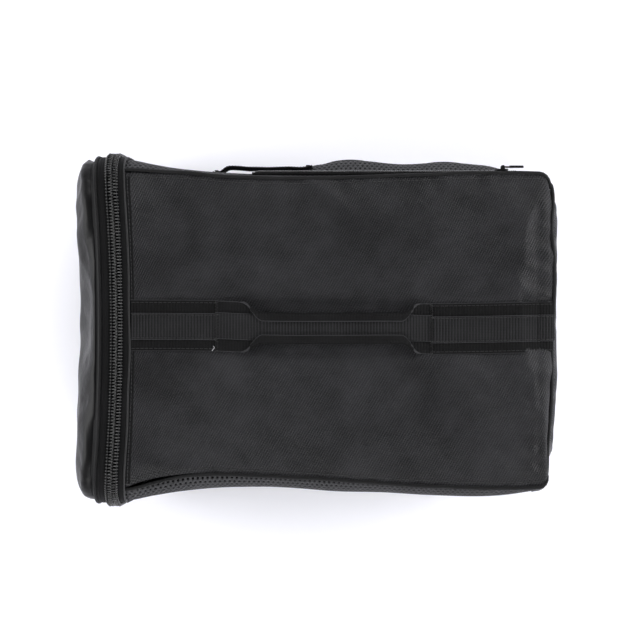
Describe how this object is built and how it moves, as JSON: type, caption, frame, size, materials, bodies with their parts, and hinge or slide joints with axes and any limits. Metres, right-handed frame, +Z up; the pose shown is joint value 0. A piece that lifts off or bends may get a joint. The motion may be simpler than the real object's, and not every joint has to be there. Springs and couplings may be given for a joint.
{
  "type": "film changing bag",
  "caption": "Soft box-shaped film changing bag with padded zip-round lid, webbing carry handle, gathered arm sleeves on one side and a slim zipped pocket.",
  "frame": {"origin": "on the table, under the middle of the bag's base", "axes": "+Z up, +X the long way from the zipped lid towards the closed end, +Y towards the side with the arm sleeves"},
  "size_m": [0.3627, 0.2765, 0.2088],
  "materials": {
    "ballistic_nylon": "woven, satin",
    "coated_fabric": "smooth, soft gloss",
    "spacer_mesh": "knitted mesh, matt",
    "webbing": "ribbed weave",
    "zip_tape": "fine twill",
    "zip_coil": "satin nylon coil",
    "slider_metal": "black enamel on zinc",
    "foam": "closed-cell foam",
    "stiffener": "sheet",
    "liner": "rubberised, matt",
    "elastic": "elastic band",
    "piping": "bound cord",
    "thread": "twisted thread",
    "touch_tape": "hook and loop"
  },
  "bodies": {
    "bag_body": {"top_panel": "ballistic_nylon", "base_panel": "ballistic_nylon", "mesh_side_panel": "spacer_mesh", "sleeve_side_panel": "spacer_mesh", "end_panel": "ballistic_nylon", "top_foam": "foam", "base_foam": "foam", "base_board": "stiffener", "mesh_side_foam": "foam", "sleeve_side_foam": "foam", "end_foam": "foam", "chamber_liner": "liner", "edge_piping": "piping", "end_piping": "piping", "mouth_binding": "zip_tape", "mouth_facing": "liner", "front_sill": "ballistic_nylon", "lid_hinge_strip": "coated_fabric", "body_zip_tape": "zip_tape", "body_zip_coil": "zip_coil", "zip_end_tabs": "webbing", "flap_flange": "liner", "flap_hinge_strip": "liner", "flap_hook_tape": "touch_tape", "wide_webbing": "webbing", "narrow_webbing": "webbing", "handle_bar_tacks": "thread", "handle_leg_front": "webbing", "handle_leg_rear": "webbing", "port_collars": "ballistic_nylon", "sleeve_front": "coated_fabric", "sleeve_rear": "coated_fabric", "side_loop": "webbing", "side_loop_tacks": "thread", "pocket_zip_tape": "zip_tape", "pocket_zip_coil": "zip_coil", "pocket_bag": "liner"},
    "lid": {"lid_cover": "coated_fabric", "lid_foam": "foam", "lid_gusset": "ballistic_nylon", "lid_piping": "piping", "lid_liner": "liner", "lid_zip_tape": "zip_tape", "lid_zip_coil": "zip_coil"},
    "carry_handle": {"handle_grip": "webbing", "handle_inner_strap": "webbing"},
    "main_zip_slider": {"main_slider": "slider_metal"},
    "main_zip_pull": {"main_pull_tab": "slider_metal"},
    "pocket_zip_slider": {"pocket_slider": "slider_metal"},
    "pocket_zip_pull": {"pocket_pull_tab": "slider_metal"},
    "inner_flap": {"blackout_flap": "liner", "flap_loop_tape": "touch_tape"},
    "front_cuff": {"cuff_front": "coated_fabric", "cuff_elastic_front": "elastic"},
    "rear_cuff": {"cuff_rear": "coated_fabric", "cuff_elastic_rear": "elastic"}
  },
  "joints": [
    {"name": "lid_hinge", "type": "hinge", "parent": "bag_body", "child": "lid", "pos_m": [-0.154, 0, 0.029], "axis": [0, -1, 0], "range_deg": [0, 90], "deforming": ["lid_hinge_strip"]},
    {"name": "inner_flap_hinge", "type": "hinge", "parent": "bag_body", "child": "inner_flap", "pos_m": [-0.1357, 0, 0.014], "axis": [0, 1, 0], "range_deg": [0, 85], "deforming": ["flap_hinge_strip"]},
    {"name": "handle_lift", "type": "slide", "parent": "bag_body", "child": "carry_handle", "axis": [0, 0, 1], "range_m": [0, 0.028], "deforming": ["handle_leg_front", "handle_leg_rear"]},
    {"name": "main_slider_travel", "type": "slide", "parent": "bag_body", "child": "main_zip_slider", "axis": [0, 0, 1], "range_m": [0, 0.11]},
    {"name": "main_pull_hinge", "type": "hinge", "parent": "main_zip_slider", "child": "main_zip_pull", "pos_m": [-0.154, -0.1392, 0.0453], "axis": [-1, 0, 0], "range_deg": [0, 170]},
    {"name": "pocket_slider_travel", "type": "slide", "parent": "bag_body", "child": "pocket_zip_slider", "axis": [1, 0, 0], "range_m": [-0.176, 0]},
    {"name": "pocket_pull_hinge", "type": "hinge", "parent": "pocket_zip_slider", "child": "pocket_zip_pull", "pos_m": [0.1418, 0.12464, 0.182], "axis": [0, 0, 1], "range_deg": [0, 170]},
    {"name": "front_sleeve_extend", "type": "slide", "parent": "bag_body", "child": "front_cuff", "axis": [0, 1, 0], "range_m": [0, 0.2], "deforming": ["sleeve_front"]},
    {"name": "rear_sleeve_extend", "type": "slide", "parent": "bag_body", "child": "rear_cuff", "axis": [0, 1, 0], "range_m": [0, 0.2], "deforming": ["sleeve_rear"]}
  ]
}
